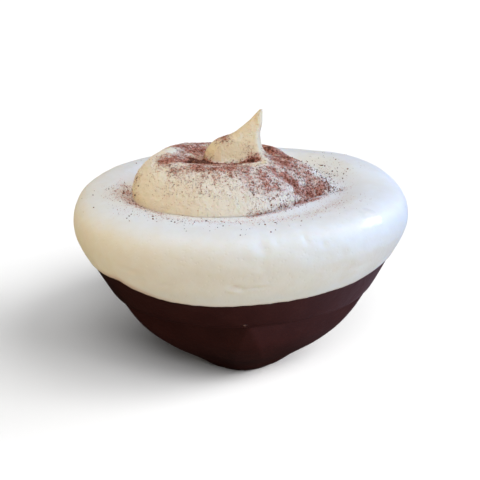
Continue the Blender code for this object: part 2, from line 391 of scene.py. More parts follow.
def makeTurnedCupTree():
    # turns a section round the upright axis, and cuts facets into it where the section says so
    tree, source, sink = newTree(
        "turnedCup", "GeometryNodeTree",
        {"Geometry": "Geometry", "Turns": "Int", "Facets": "Int", "Front Lobe": "Float", "Facet Top": "Float",
         "Facet Foot": "Float", "Flatness": "Float", "Unevenness": "Float", "Uneven Scale": "Float",
         "Material": "Material"},
        {"Geometry": "Geometry"})
    section = source["Geometry"]
    rows = addNode(tree, "GeometryNodeAttributeDomainSize", {"Geometry": section}, component="MESH").outputs["Point Count"]
    columns = calc(tree, "ADD", source["Turns"], 1.0)
    grid = addNode(tree, "GeometryNodeMeshGrid", {"Vertices X": columns, "Vertices Y": rows}).outputs["Mesh"]
    index = addNode(tree, "GeometryNodeInputIndex").outputs[0]
    row = calc(tree, "MODULO", index, rows)
    column = calc(tree, "FLOOR", calc(tree, "DIVIDE", calc(tree, "ADD", index, 0.5), rows))
    turn = calc(tree, "MULTIPLY", calc(tree, "DIVIDE", column, source["Turns"]), circle)
    position = addNode(tree, "GeometryNodeInputPosition").outputs[0]
    facetMask = addNode(tree, "GeometryNodeInputNamedAttribute", {"Name": "facet"}, data_type="FLOAT").outputs[0]
    mask = sampleAt(tree, section, facetMask, row, "FLOAT")
    outline = sampleAt(tree, section, position, row, "FLOAT_VECTOR")
    point = addNode(tree, "ShaderNodeSeparateXYZ", {"Vector": outline}).outputs
    radius, height = point["X"], point["Z"]

    pitch = calc(tree, "DIVIDE", circle, source["Facets"])
    half = calc(tree, "MULTIPLY", pitch, 0.5)
    fromLobe = calc(tree, "WRAP", calc(tree, "SUBTRACT", turn, source["Front Lobe"]), pitch, 0.0)
    off = calc(tree, "SUBTRACT", fromLobe, half)
    share = calc(tree, "MINIMUM", 1.0, calc(tree, "DIVIDE", height, source["Facet Top"]))
    spare = calc(tree, "SUBTRACT", 1.0, source["Facet Foot"])
    wide = calc(tree, "MULTIPLY", half, calc(tree, "MULTIPLY_ADD", share, spare, source["Facet Foot"]))
    straight = calc(tree, "DIVIDE", calc(tree, "COSINE", wide), calc(tree, "COSINE", off))
    cut = calc(tree, "MAXIMUM", 0.0, calc(tree, "SUBTRACT", 1.0, straight))
    cut = calc(tree, "MULTIPLY", calc(tree, "MULTIPLY", cut, source["Flatness"]), mask)
    radius = calc(tree, "MULTIPLY", radius, calc(tree, "SUBTRACT", 1.0, cut))

    x = calc(tree, "MULTIPLY", radius, calc(tree, "SINE", turn))
    y = calc(tree, "MULTIPLY", calc(tree, "MULTIPLY", radius, -1.0), calc(tree, "COSINE", turn))
    place = addNode(tree, "ShaderNodeCombineXYZ", {"X": x, "Y": y, "Z": height}).outputs[0]
    wobble = addNode(tree, "ShaderNodeTexNoise", {"Vector": place, "Scale": source["Uneven Scale"], "Detail": 2.0})
    centred = addNode(tree, "ShaderNodeVectorMath",
                      {0: wobble.outputs["Color"], 1: (0.5, 0.5, 0.5)}, operation="SUBTRACT").outputs[0]
    amount = calc(tree, "MULTIPLY", source["Unevenness"], ramp(tree, height, 0.0, 2 * mm))
    shift = addNode(tree, "ShaderNodeVectorMath", {0: centred, "Scale": amount}, operation="SCALE").outputs[0]
    place = addNode(tree, "ShaderNodeVectorMath", {0: place, 1: shift}, operation="ADD").outputs[0]
    moved = addNode(tree, "GeometryNodeSetPosition", {"Geometry": grid, "Position": place}).outputs[0]
    welded = addNode(tree, "GeometryNodeMergeByDistance", {"Geometry": moved, "Distance": 1e-6}).outputs[0]
    smooth = addNode(tree, "GeometryNodeSetShadeSmooth", {"Geometry": welded, "Shade Smooth": True}).outputs[0]
    finishTree(tree, sink, smooth, source["Material"])
    return tree


def makeChocolate():
    # dark chocolate: a soft shine with cloudy bloom, fine grain and a few rubbed spots
    made, tree, shader = newMaterial("darkChocolate", {"Specular IOR Level": 0.38, "IOR": 1.47})
    place = addNode(tree, "ShaderNodeTexCoord").outputs["Object"]
    clouds = noiseNode(tree, place, 9.0, 3.0, 0.55)
    grain = noiseNode(tree, place, 0.9, 3.0, 0.6)
    rubbed = noiseNode(tree, place, 3.2, 4.0, 0.7)
    colour = mixColour(tree, ramp(tree, clouds, 0.35, 0.68), chocolate["deep"], chocolate["plain"])
    colour = mixColour(tree, calc(tree, "MULTIPLY", ramp(tree, rubbed, 0.56, 0.74), 0.35), colour, chocolate["bloom"])
    tree.links.new(colour, shader.inputs["Base Color"])
    rough = calc(tree, "MULTIPLY_ADD", clouds, 0.22, chocolate["roughness"] - 0.11)
    rough = calc(tree, "MULTIPLY_ADD", ramp(tree, rubbed, 0.5, 0.75), 0.10, rough)
    tree.links.new(rough, shader.inputs["Roughness"])
    height = calc(tree, "MULTIPLY_ADD", grain, 0.25, calc(tree, "ADD", clouds, calc(tree, "MULTIPLY", rubbed, 0.3)))
    tree.links.new(bumpNode(tree, height, 0.22), shader.inputs["Normal"])
    return made


chocolate = {
    "plain": (0.038, 0.0075, 0.0055, 1.0),
    "deep": (0.030, 0.0060, 0.0045, 1.0),
    "bloom": (0.050, 0.015, 0.013, 1.0),
    "crumb": (0.16, 0.075, 0.052, 1.0),
    "roughness": 0.36,
}


def makeCup():
    section = cupSection()
    start = bpy.data.meshes.new("cupSection")
    start.from_pydata([(r * mm, 0.0, z * mm) for r, z, facet in section], [], [])
    start.attributes.new("facet", "FLOAT", "POINT").data.foreach_set("value", section[:, 2])
    values = {"Turns": cup["turns"], "Facets": cup["facets"], "Front Lobe": math.radians(cup["frontLobe"]),
              "Facet Top": cup["facetTop"] * mm, "Facet Foot": cup["facetFoot"], "Flatness": cup["flatness"],
              "Unevenness": cup["unevenness"] * mm, "Uneven Scale": 1 / (cup["unevenSize"] * mm),
              "Material": makeChocolate()}
    return runTree("chocolate_cup_shell", makeTurnedCupTree(), start, values)


# the cream: fills the cup to its wall, laps over the rim, bulges above it and ends in a broad shelf

cream = {
    "intoWall": 0.15,
    "lap": [(-180, 32.7), (-75, 32.7), (-57, 32.7), (-50, 33.0), (-45, 33.1), (-40.5, 32.1), (-34, 31.3), (-28, 30.7),
            (-17, 30.3), (-3, 30.45), (10, 30.8), (24, 30.95), (30, 31.2), (41, 31.5), (50, 32.1), (58, 32.6),
            (75, 32.7)],        # degrees, height of its lower edge
    "lapWaves": 0.16,
    "lip": 0.5,
    "undersideSlope": 0.55,
    "radius": 41.6,
    "widestHeight": 40.8,
    "topRadius": 32.0,
    "topHeight": 47.4,
    "shoulderRises": [(-125.0, 38.0, 1.3), (116.0, 24.0, 1.1), (88.0, 18.0, -0.5)],     # degrees, width, rise
    "shoulderPower": 2.6,
    "seatRadius": 24.0,
    "seatHeight": 45.7,
    "relief": [(20.0, 0.34, 3.1), (7.0, 0.13, 11.7), (2.6, 0.035, 23.9)],  # lump size, height, seed
    "dents": [                  # degrees, height, width round, width up, depth
        (-2.6, 36.1, 1.1, 0.50, 0.60),
        (-2.2, 34.9, 1.3, 0.50, -0.55),
        (4.0, 35.7, 2.7, 0.28, 0.34),
        (6.2, 44.8, 1.4, 1.5, 0.42),
        (11.0, 45.9, 0.8, 1.0, 0.14),
        (8.6, 45.0, 1.1, 0.8, -0.08),
        (-0.4, 35.4, 0.9, 0.45, 0.50),
        (1.0, 42.4, 2.2, 1.2, 0.18),
        (6.5, 41.0, 1.6, 1.8, 0.14),
        (20.0, 45.4, 0.7, 1.0, 0.26),
        (25.0, 44.2, 0.9, 0.9, 0.24),
        (31.0, 41.5, 1.0, 1.2, 0.16),
        (-37.0, 37.4, 2.2, 0.7, 0.30),
        (-33.0, 35.8, 0.7, 0.6, 0.25),
        (-25.0, 35.6, 1.8, 0.4, 0.20),
        (-12.0, 38.5, 4.5, 1.6, 0.20),
        (38.0, 36.6, 3.5, 1.0, 0.22),
        (118.0, 39.0, 3.0, 1.2, 0.35),
        (165.0, 42.5, 2.5, 1.4, 0.40),
        (-140.0, 37.0, 3.2, 1.0, 0.35),
        (-100.0, 41.0, 2.2, 1.8, 0.30),
    ],
    "columns": 520,
    "roughness": 0.52,
    "plain": (0.93, 0.885, 0.80, 1.0),
    "warm": (0.90, 0.84, 0.73, 1.0),
    "thinEdge": (0.62, 0.40, 0.31, 1.0),
    "thinTurn": -43.0,          # where the edge is thinnest
    "dampTurn": 47.5,           # where the shoulder is wet and shines
}


def swayOut(turn):
    return 0.3 * np.sin(turn + 0.4) + 0.3 * np.sin(2 * turn + 1.1) + 0.2 * np.sin(3 * turn - 0.5)


def swayUp(turn):
    return 0.2 * np.sin(3 * turn + 0.7) - 0.4 * np.cos(turn)


def shoulderUp(turn):
    rise = swayUp(turn)
    for degrees, width, height in cream["shoulderRises"]:
        off = (turn - math.radians(degrees) + math.pi) % circle - math.pi
        rise = rise + height * fade(off, math.radians(width))
    return rise


def creamTop(radius, turn):
    # height of the cream's top inside its shoulder
    topRadius, topHeight = cream["topRadius"] + swayOut(turn), cream["topHeight"] + shoulderUp(turn)
    share = smoothStep((topRadius - radius) / (topRadius - cream["seatRadius"]))
    return topHeight + (cream["seatHeight"] - topHeight) * share


def creamRows(turn):
    # rows of points from the floor of the cup, up inside, over the rim, down to the lap, and up to the middle
    rows = []
    into = cream["intoWall"]
    for share in np.linspace(0.02, 1, 16) ** 1.5:
        radius, height = innerWall(share)
        rows.append((radius + into + 0 * turn, height - into * (1 - share) + 0 * turn))
    rows.append((rimRadius - 1.0 + 0 * turn, rimHeight - 0.3 + 0 * turn))
    rows.append((rimRadius - 0.35 + 0 * turn, rimHeight - 0.45 + 0 * turn))
    edgeNoise = lumps(onCircle(38.0, turn, 0.0), 2.2, 5.3) + 0.5 * lumps(onCircle(38.0, turn, 0.0), 0.9, 8.1)
    lap = roundTurn(cream["lap"], turn) + cream["lapWaves"] * edgeNoise
    shell = bandRadius(lap)
    edge = shell + cream["lip"]
    wide = cream["radius"] + swayOut(turn)
    wideHeight = cream["widestHeight"] + swayUp(turn)
    top, topHeight = cream["topRadius"] + swayOut(turn), cream["topHeight"] + shoulderUp(turn)
    rows.append((shell - 0.30, lap + 0.35))
    rows.append((shell - 0.12, lap + 0.06))
    rows.append((shell + 0.14, lap - 0.02))
    rows.append((edge - 0.10, lap + 0.05))
    start = lap + 0.20
    bendHeight = np.minimum(wideHeight - 1.0, start + (wide - edge) / cream["undersideSlope"])
    for t in np.linspace(0, 1, 34)[:-1]:
        radius = (1 - t) ** 2 * edge + 2 * t * (1 - t) * wide + t * t * wide
        height = (1 - t) ** 2 * start + 2 * t * (1 - t) * bendHeight + t * t * wideHeight
        rows.append((radius, height))
    for angle in np.linspace(0, math.pi / 2, 44)[:-1]:
        across = math.cos(angle) ** (2 / cream["shoulderPower"])
        upward = math.sin(angle) ** (2 / cream["shoulderPower"])
        rows.append((top + (wide - top) * across, wideHeight + (topHeight - wideHeight) * upward))
    for share in np.linspace(0, 1, 56)[:-1]:
        radius = top + (0.6 - top) * share
        rows.append((radius, creamTop(radius, turn)))
    profile = np.array(rows)
    widest = profile[:, 0].max(axis=1).argmax()
    near = fade(np.arange(len(profile)) - widest, 14)[:, None, None] * 0.5
    near[:26] = 0.0
    for step in range(60):
        between = (np.roll(profile, 1, axis=0) + np.roll(profile, -1, axis=0)) / 2
        profile = profile + near * (between - profile)
    return np.array([onCircle(radius, turn, height) for radius, height in profile])


def makeCreamMaterial():
    # thick white cream: light goes a little way in, with soft swirls, tiny bubbles and a damp shine
    made, tree, shader = newMaterial("whiteCream", {"Subsurface Weight": 0.35, "Subsurface Radius": (1.0, 0.72, 0.48),
                                                    "Subsurface Scale": 2.5 * mm, "IOR": 1.45,
                                                    "Coat Roughness": 0.17})
    whipped = addNode(tree, "ShaderNodeGroup", node_tree=whippedFood)
    whipped.inputs["Bubble Scale"].default_value = 1 / (1.1 * mm)
    whipped.inputs["Swirl Scale"].default_value = 1 / (9.0 * mm)
    tone = whipped.outputs["Tone"]
    colour = mixColour(tree, ramp(tree, tone, 0.36, 0.66), cream["warm"], cream["plain"])
    thin = calc(tree, "MULTIPLY", attribute(tree, "thin"), ramp(tree, tone, 0.2, 0.6, 0.6, 1.0))
    colour = mixColour(tree, thin, colour, cream["thinEdge"])
    rough = calc(tree, "MULTIPLY_ADD", tone, 0.24, cream["roughness"] - 0.12)
    damp = calc(tree, "MULTIPLY", attribute(tree, "damp"), ramp(tree, tone, 0.38, 0.52, 0.35, 0.75))
    tree.links.new(damp, shader.inputs["Coat Weight"])
    dusted(tree, shader, colour, attribute(tree, "cocoa"), 1 / (0.42 * mm), rough)
    tree.links.new(bumpNode(tree, whipped.outputs["Height"], 0.10), shader.inputs["Normal"])
    return made


def makeCream():
    turn = np.linspace(0, circle, cream["columns"], endpoint=False)
    grid = creamRows(turn)
    normal = outward(grid)
    turns = np.broadcast_to(turn, grid.shape[:2])
    radius = np.hypot(grid[..., 0], grid[..., 1])
    lapHere = np.broadcast_to(roundTurn(cream["lap"], turn), radius.shape)
    outside = smoothStep((radius - bandRadius(np.minimum(grid[..., 2], rimHeight)) - 0.2) / 1.4)
    outside = np.where(grid[..., 2] > rimHeight + 3.0, 1.0, outside)
    outside[:20] = 0.0
    shift = np.zeros(radius.shape)
    outside *= 0.25 + 0.75 * smoothStep((radius - 25.0) / 7.0)
    for size, rise, seed in cream["relief"]:
        shift += rise * lumps(grid, size, seed)
    for degrees, height, across, upward, depth in cream["dents"]:
        off = (turns - math.radians(degrees) + math.pi) % circle - math.pi
        shift -= depth * fade(off * radius, across) * fade(grid[..., 2] - height, upward)
    grid = grid + normal * (shift * outside)[..., None]
    masks = creamDust(grid, normal)
    leftward = (turns - math.radians(cream["thinTurn"]) + math.pi) % circle - math.pi
    reach = 0.35 + 0.9 * fade(leftward, 0.30)
    masks["thin"] = fade(np.maximum(grid[..., 2] - lapHere, 0.0), reach) * (0.35 + 0.5 * fade(leftward, 0.35))
    masks["thin"][:20] = 0.0
    rightward = (turns - math.radians(cream["dampTurn"]) + math.pi) % circle - math.pi
    ragged = 1.1 * lumps(grid, 1.7, 71.0) + 0.6 * lumps(grid, 0.8, 73.0)
    masks["damp"] = smoothStep(2.2 * fade(rightward, 0.10) * fade(grid[..., 2] - 45.7, 1.4) - 0.85 + 1.2 * ragged)
    masks["damp"] *= radius > 33.5
    made = closedRings("white_cream_pillow", grid, masks)
    made.data.materials.append(makeCreamMaterial())
    return made


# the coffee mousse: a dome with a tail on the right and a peak that leans to the right

mousse = {
    "middle": (-1.2, -2.4),
    "reach": [(-180, 20.0), (-125, 22.6), (-78, 25.0), (-35, 21.2), (8, 19.4), (45, 18.2), (72, 20.4), (88, 25.0),
              (106, 21.0), (140, 19.6)],    # degrees, distance from the middle to its edge
    "height": 11.35,            # from its foot to the top of the dome
    "sink": 0.6,                # how far its foot sits in the cream
    "power": 3.0,
    "steepness": 0.40,
    "leftTurn": -105.0,         # the left side is fuller
    "leftPower": 5.4,
    "leftSteepness": 0.45,
    "tailTurn": 86.0,
    "tailSteepness": 1.0,
    "dip": 1.2,
    "folds": [                  # points it follows, rise, width
        ([(6.9, -10.2), (8.8, -9.8), (11.2, -9.2), (13.6, -8.4), (16.1, -7.4), (18.4, -6.6), (21.4, -4.8),
          (24.0, -3.2)], 0.55, 1.1),
        ([(9.3, -12.0), (11.4, -11.7), (12.8, -11.3), (14.2, -10.9), (15.7, -10.4), (17.5, -9.1), (19.0, -7.9)],
         -1.2, 1.35),
        ([(-11.5, -7.4), (-9.4, -7.6), (-7.6, -8.8)], -1.1, 1.7),
        ([(-17.0, 3.0), (-15.0, 6.0)], 0.85, 5.0),
        ([(-16.0, 0.0), (-17.5, -2.0)], 0.35, 2.5),
        ([(2.0, -16.0), (6.5, -14.0)], -0.35, 1.6),
        ([(7.0, 3.5), (9.0, 3.0)], 0.5, 2.5),
    ],
    "relief": [(9.0, 0.28, 2.2), (3.6, 0.17, 7.9), (1.5, 0.10, 13.3), (0.8, 0.055, 19.9)],
    "peakFoot": 54.5,
    "peakLeft": [(54.5, -8.7), (55.6, -8.2), (57.4, -7.2), (59.2, -5.1), (60.4, -1.4), (63.0, 2.2), (66.2, 5.5)],
    "peakRight": [(54.5, 8.2), (55.6, 6.7), (57.2, 5.8), (59.2, 5.5), (60.4, 5.5), (63.0, 6.1), (66.2, 6.2)],
    "peakDepth": [(54.5, 5.5), (55.6, 4.7), (59.2, 3.3), (60.4, 2.7), (63.0, 1.6), (66.2, 0.3)],
    "peakY": -2.0,
    "peakRagged": 0.45,
    "peakStrip": 1.0,           # width of the narrow face on its right
    "peakFront": [(-180, 1.0), (-135, 0.72), (-90, 0.05), (-45, -0.72), (0, -0.96), (30, -1.0), (42, -0.97),
                  (54, -0.80), (90, 0.25), (135, 0.80)],
    "columns": 400,
    "roughness": 0.62,
    "plain": (0.96, 0.815, 0.635, 1.0),
    "pale": (0.95, 0.83, 0.65, 1.0),
    "peakTan": (0.91, 0.735, 0.49, 1.0),
}


def domePlace(turn, share):
    reach = roundTurn(mousse["reach"], turn)
    x = mousse["middle"][0] + reach * share * np.sin(turn)
    y = mousse["middle"][1] - reach * share * np.cos(turn)
    return x, y


def domeFloor(turn, share):
    # height of the cream under the dome
    edgeX, edgeY = domePlace(turn, 1.0)
    lift = creamTop(np.hypot(edgeX, edgeY), np.arctan2(edgeX, -edgeY)) - cream["seatHeight"]
    return cream["seatHeight"] - mousse["sink"] + lift * smoothStep(share)


def domeRise(turn, share):
    tail = fade((turn - math.radians(mousse["tailTurn"]) + math.pi) % circle - math.pi, 0.55)
    left = fade((turn - math.radians(mousse["leftTurn"]) + math.pi) % circle - math.pi, 0.95)
    steepness = mousse["steepness"] + (mousse["tailSteepness"] - mousse["steepness"]) * tail
    steepness = steepness + (mousse["leftSteepness"] - mousse["steepness"]) * left
    power = mousse["power"] + (mousse["leftPower"] - mousse["power"]) * left
    rise = mousse["height"] * (1 - share**power) ** steepness
    x, y = domePlace(turn, share)
    for path, height, width in mousse["folds"]:
        away, along = pathDistance(x, y, path)
        rise = rise + height * fade(away, width) * (1 - share**8)
    return rise - mousse["dip"] * (1 - smoothStep((share - 0.40) / 0.25))


def mousseRows(turn):
    rows = []
    for share in (0.3, 0.6, 0.85, 0.95):
        x, y = domePlace(turn, share)
        rows.append((x, y, domeFloor(turn, share) - 0.5))
    edgeRow = 1 - np.linspace(0, 1, 92) ** 1.9 * 0.5
    edgeRow[0] = 0.9995
    for share in edgeRow:
        x, y = domePlace(turn, share)
        rows.append((x, y, domeFloor(turn, share) + domeRise(turn, share)))
    innerX, innerY, innerZ = rows[-1]

    def peakRow(height):
        left, right = float(through(mousse["peakLeft"], height)), float(through(mousse["peakRight"], height))
        depth = float(through(mousse["peakDepth"], height))
        corner = max(-0.4, 1 - 2 * mousse["peakStrip"] / (right - left))
        across = [(-180, 0.0), (-135, -0.72), (-90, -1.0), (-45, -0.70), (0, 0.10 * corner), (30, 0.80 * corner),
                  (42, corner), (54, 0.5 + 0.5 * corner), (90, 1.0), (135, 0.72)]
        x = (left + right) / 2 + (right - left) / 2 * roundTurn(across, turn)
        return x, mousse["peakY"] + depth * roundTurn(mousse["peakFront"], turn), height + 0 * turn

    foot = peakRow(mousse["peakFoot"])
    ragged = lumps(onCircle(7.0, turn, 0.0), 2.1, 61.0) + 0.6 * lumps(onCircle(7.0, turn, 0.0), 0.9, 67.0)
    for step in np.linspace(0, 1, 22)[1:-1]:
        ease = smoothStep(step)
        torn = mousse["peakRagged"] * ragged * math.sin(math.pi * step)
        rows.append((innerX + (foot[0] - innerX) * step, innerY + (foot[1] - innerY) * step - torn,
                     innerZ + (foot[2] - innerZ) * ease + 0.6 * torn))
    for share in np.linspace(0, 1, 76) ** 0.93:
        rows.append(peakRow(mousse["peakFoot"] + (mousseHigh.z - mousse["peakFoot"]) * share))
    return np.array([np.stack(row, axis=-1) for row in rows])


def makeMousseMaterial():
    # pale coffee mousse: airy and dull, with cocoa dust on top
    made, tree, shader = newMaterial("coffeeMousse", {"Subsurface Weight": 0.30, "Subsurface Radius": (1.0, 0.6, 0.35),
                                                      "Subsurface Scale": 1.6 * mm, "IOR": 1.40,
                                                      "Specular IOR Level": 0.3})
    whipped = addNode(tree, "ShaderNodeGroup", node_tree=whippedFood)
    whipped.inputs["Bubble Scale"].default_value = 1 / (0.8 * mm)
    whipped.inputs["Swirl Scale"].default_value = 1 / (2.2 * mm)
    tone = whipped.outputs["Tone"]
    colour = mixColour(tree, ramp(tree, tone, 0.40, 0.60), mousse["plain"], mousse["pale"])
    colour = mixColour(tree, attribute(tree, "peak"), colour, mousse["peakTan"])
    rough = calc(tree, "MULTIPLY_ADD", tone, 0.2, mousse["roughness"] - 0.1)
    mask = dusted(tree, shader, colour, attribute(tree, "cocoa"), 1 / (0.55 * mm), rough)
    height = calc(tree, "MULTIPLY_ADD", mask, 0.7, whipped.outputs["Height"])
    tree.links.new(bumpNode(tree, height, 0.36), shader.inputs["Normal"])
    return made


def makeMousse():
    turn = np.linspace(0, circle, mousse["columns"], endpoint=False)
    grid = mousseRows(turn)
    normal = outward(grid)
    onPeak = smoothStep((grid[..., 2] - mousse["peakFoot"]) / 2.0)
    shift = np.zeros(grid.shape[:2])
    for size, rise, seed in mousse["relief"]:
        shift += rise * lumps(grid, size, seed)
    shift *= 1 - 0.55 * onPeak
    shift *= 1 - smoothStep((grid[..., 2] - 63.5) / 2.0)
    shift[:6] = 0.0
    grid = grid + normal * shift[..., None]
    masks = mousseDust(grid, normal)
    masks["peak"] = smoothStep((grid[..., 2] - mousse["peakFoot"] + 0.4) / 1.6) * (radiusFrom(grid, 0.0, mousse["peakY"]) < 12)
    made = closedRings("coffee_mousse_dome", grid, masks)
    made.data.materials.append(makeMousseMaterial())
    return made


# cocoa: dust drawn on the food by its density, powder grains and dark crumbs

cocoa = {
    "light": (0.72, 0.310, 0.215, 1.0),
    "dark": (0.19, 0.047, 0.020, 1.0),
    "powderLight": (0.72, 0.31, 0.20, 1.0),
    "powderDark": (0.32, 0.100, 0.055, 1.0),
    "crumbLight": (0.28, 0.105, 0.050, 1.0),
    "crumbDark": (0.07, 0.026, 0.012, 1.0),
    "onMousse": [               # points it lies along, width, density of the dust
        ([(-17.0, -5.9), (-15.1, -5.3), (-12.8, -5.4), (-10.4, -5.0)], 2.5, 0.50),
        ([(-17.5, -8.2), (-14.5, -8.0), (-10.5, -8.2)], 1.8, 0.42),
        ([(-18.5, -9.5), (-14.8, -10.0), (-10.5, -11.0)], 2.2, 0.22),
        ([(-13.0, -0.8), (-10.6, 0.1), (-8.6, -2.2)], 2.2, 0.47),
        ([(-15.2, 2.5), (-11.9, 2.6), (-9.4, 2.6)], 2.4, 0.74),
        ([(-16.0, -2.2), (-17.7, -2.0)], 1.7, -0.28),
        # density 1.5: thick cocoa in the hollow left of the peak's foot, darkened past 1.1 with painted shade
        ([(-11.1, -5.4), (-9.5, -5.6), (-7.9, -7.8)], 1.5, 1.50),
        ([(-7.2, -9.4), (-3.9, -10.2), (-0.8, -10.2), (1.6, -9.0), (3.8, -8.0)], 1.6, 0.70),
        ([(-8.3, -4.0), (-7.0, -6.6), (-4.0, -7.8), (0.0, -8.0), (4.6, -6.8)], 0.8, 0.75),
        ([(-1.3, -13.4), (2.2, -13.8)], 1.9, 0.50),
        ([(-9.5, -12.6), (-3.1, -13.3)], 2.2, 0.36),
        ([(-7.0, -15.8), (0.3, -15.8), (5.4, -14.6)], 1.9, 0.28),
        ([(-15.6, -9.6), (-12.9, -7.5)], 1.5, 0.24),
        ([(-15.5, -12.8), (-12.6, -13.6), (-9.8, -13.6)], 1.5, 0.38),
        ([(-7.0, -15.2), (-1.5, -15.5)], 1.2, 0.26),
        ([(0.2, -17.4), (2.2, -17.8)], 1.2, 0.26),
        ([(3.0, -20.6), (6.0, -19.6), (9.3, -17.4)], 1.3, 0.26),
        ([(19.4, -7.2), (21.6, -5.6)], 1.1, 0.45),
        ([(11.0, -12.8), (13.2, -11.6)], 1.1, -0.18),
        ([(8.4, -11.9), (11.9, -10.9), (14.2, -10.5), (16.0, -9.9), (18.2, -8.1), (19.3, -7.0)], 1.6, 0.84),
        ([(14.0, -12.0), (16.2, -10.6), (18.0, -8.8)], 1.6, 0.56),
        ([(6.0, -15.4), (10.4, -14.8), (12.6, -13.4)], 2.6, 0.27),
        ([(5.0, -18.5), (9.0, -17.0), (12.8, -14.0)], 2.0, 0.20),
        ([(7.5, 2.2), (9.9, 0.6), (12.0, -2.4)], 2.9, 0.98),
        ([(7.7, -4.3), (10.4, -6.2)], 2.2, 0.60),
        ([(8.8, -10.6), (11.2, -9.8), (13.6, -8.9)], 0.5, -0.15),
        ([(8.8, -9.0), (13.6, -7.6), (17.0, -6.4)], 1.7, 0.27),
        ([(12.0, -6.6), (16.0, -5.0)], 2.2, 0.32),
        ([(17.4, -3.6), (20.9, -4.4)], 1.8, 0.12),
        ([(21.4, -4.9), (23.0, -3.7)], 1.2, 0.30),
        ([(-10.0, 8.0), (0.0, 9.0), (6.0, 7.0)], 4.0, 0.60),
        ([(-14.0, -16.0), (-6.0, -18.3), (2.0, -18.6), (8.0, -16.8)], 2.6, 0.15),
        ([(-22.0, -14.0), (-8.0, -21.0), (8.0, -20.0)], 3.0, 0.07),
        ([(-25.0, -9.0), (-25.8, -4.0)], 1.6, 0.35),
    ],
    "onFoot": [
        ([(2.0, -21.8), (5.0, -20.9), (8.1, -19.0), (12.3, -15.0), (15.8, -11.4)], 0.5, 0.62),
        ([(-23.4, -14.0), (-20.0, -17.0)], 0.6, 0.40),
        ([(13.2, -13.6), (15.2, -11.8)], 0.9, 0.55),
    ],
    "onCream": [
        ([(-24.4, -12.4), (-26.6, -8.5), (-27.4, -4.0), (-27.4, 1.0)], 2.3, 0.42),
        ([(-29.5, -9.0), (-30.5, -2.0)], 2.4, 0.16),
        ([(-23.0, -14.6), (-18.0, -18.2)], 0.9, 0.32),
        ([(2.0, -22.4), (8.1, -19.0), (12.6, -15.4), (16.6, -11.6), (21.0, -7.0)], 0.8, 0.42),
        ([(-24.0, -18.0), (-12.0, -25.5), (4.0, -27.0), (15.0, -23.0), (24.0, -14.0)], 4.0, 0.10),
        ([(22.0, -2.0), (24.0, 4.0), (22.0, 12.0)], 4.0, 0.10),
        ([(24.0, -5.0), (26.0, -3.0)], 1.4, 0.22),
        ([(14.2, -12.9), (16.4, -11.2), (18.4, -9.6)], 1.0, 0.50),
    ],
    "crumbsOnMousse": [
        ([(-9.0, -8.0), (-7.0, -8.6), (-3.9, -9.4), (-0.5, -9.0), (1.6, -8.2), (2.6, -7.9)], 0.9, 2.0),
        # dark crumbs crowded into the hollow left of the peak's foot: cocoa crumbs, packed densely to stand in for its
        # shade as well
        ([(-11.4, -6.2), (-8.2, -7.0)], 1.1, 2.6),
        ([(-6.6, -14.7), (0.3, -14.0), (5.4, -13.0)], 1.8, 0.22),
        ([(13.0, -9.6), (16.0, -7.4), (19.0, -6.0), (23.0, -4.0)], 1.8, 0.42),
        ([(13.0, -2.0), (18.0, -2.6), (23.5, -2.4)], 2.0, 0.50),
        ([(21.5, -4.4), (24.5, -3.0)], 1.3, 1.5),
        ([(13.6, -12.6), (17.5, -9.6)], 1.6, 0.50),
        ([(8.1, -18.8), (12.3, -15.0), (16.0, -11.4)], 0.8, 0.55),
        ([(-24.4, -10.0), (-25.4, -3.0)], 1.3, 0.12),
    ],
    "crumbsOnCream": [
        ([(-24.6, -12.5), (-27.4, -6.0), (-27.4, 1.0)], 1.7, 0.28),
        ([(-30.0, -6.0), (-30.5, 0.0)], 1.6, 0.10),
        ([(23.0, 0.0), (23.2, 7.0), (20.0, 15.0), (18.6, 19.5)], 2.2, 0.34),
        ([(24.6, 6.9), (27.1, 8.1), (22.0, 20.5)], 3.0, 0.12),
        ([(23.2, -1.0), (24.0, -3.4)], 1.0, 1.1),
        ([(9.0, -19.3), (12.8, -15.6), (18.0, -10.8), (23.0, -6.0)], 0.8, 0.35),
        ([(-35.4, -2.5), (-33.2, -10.1), (-30.3, -14.5), (-27.5, -18.2)], 3.2, 0.035),
        ([(-24.0, -22.0), (-12.0, -30.5), (2.0, -32.5), (10.0, -30.5)], 3.4, 0.085),
        ([(-20.0, 20.0), (20.0, 22.0)], 8.0, 0.025),
    ],
    "powderPerSquareMetre": 2.4e7,
    "powderSize": 0.085,
    "crumbsPerSquareMetre": 3.0e6,
    "crumbSize": 0.145,
}


def radiusFrom(grid, x, y):
    return np.hypot(grid[..., 0] - x, grid[..., 1] - y)


def laidOn(x, y, spots):
    total = np.zeros(np.shape(x))
    for path, width, amount in spots:
        total += amount * fade(pathDistance(x, y, path)[0], width)
    return total


def creamDust(grid, normal):
    x, y = grid[..., 0], grid[..., 1]
    faceUp = smoothStep((normal[..., 2] - 0.1) / 0.6)
    patchy = 1 + 0.5 * lumps(grid, 3.0, 31.0)
    dust = np.clip(laidOn(x, y, cocoa["onCream"]) * faceUp * patchy, 0, 1)
    return {"cocoa": dust, "powder": dust,
            "crumbs": np.clip(laidOn(x, y, cocoa["crumbsOnCream"]) * faceUp, 0, 1)}


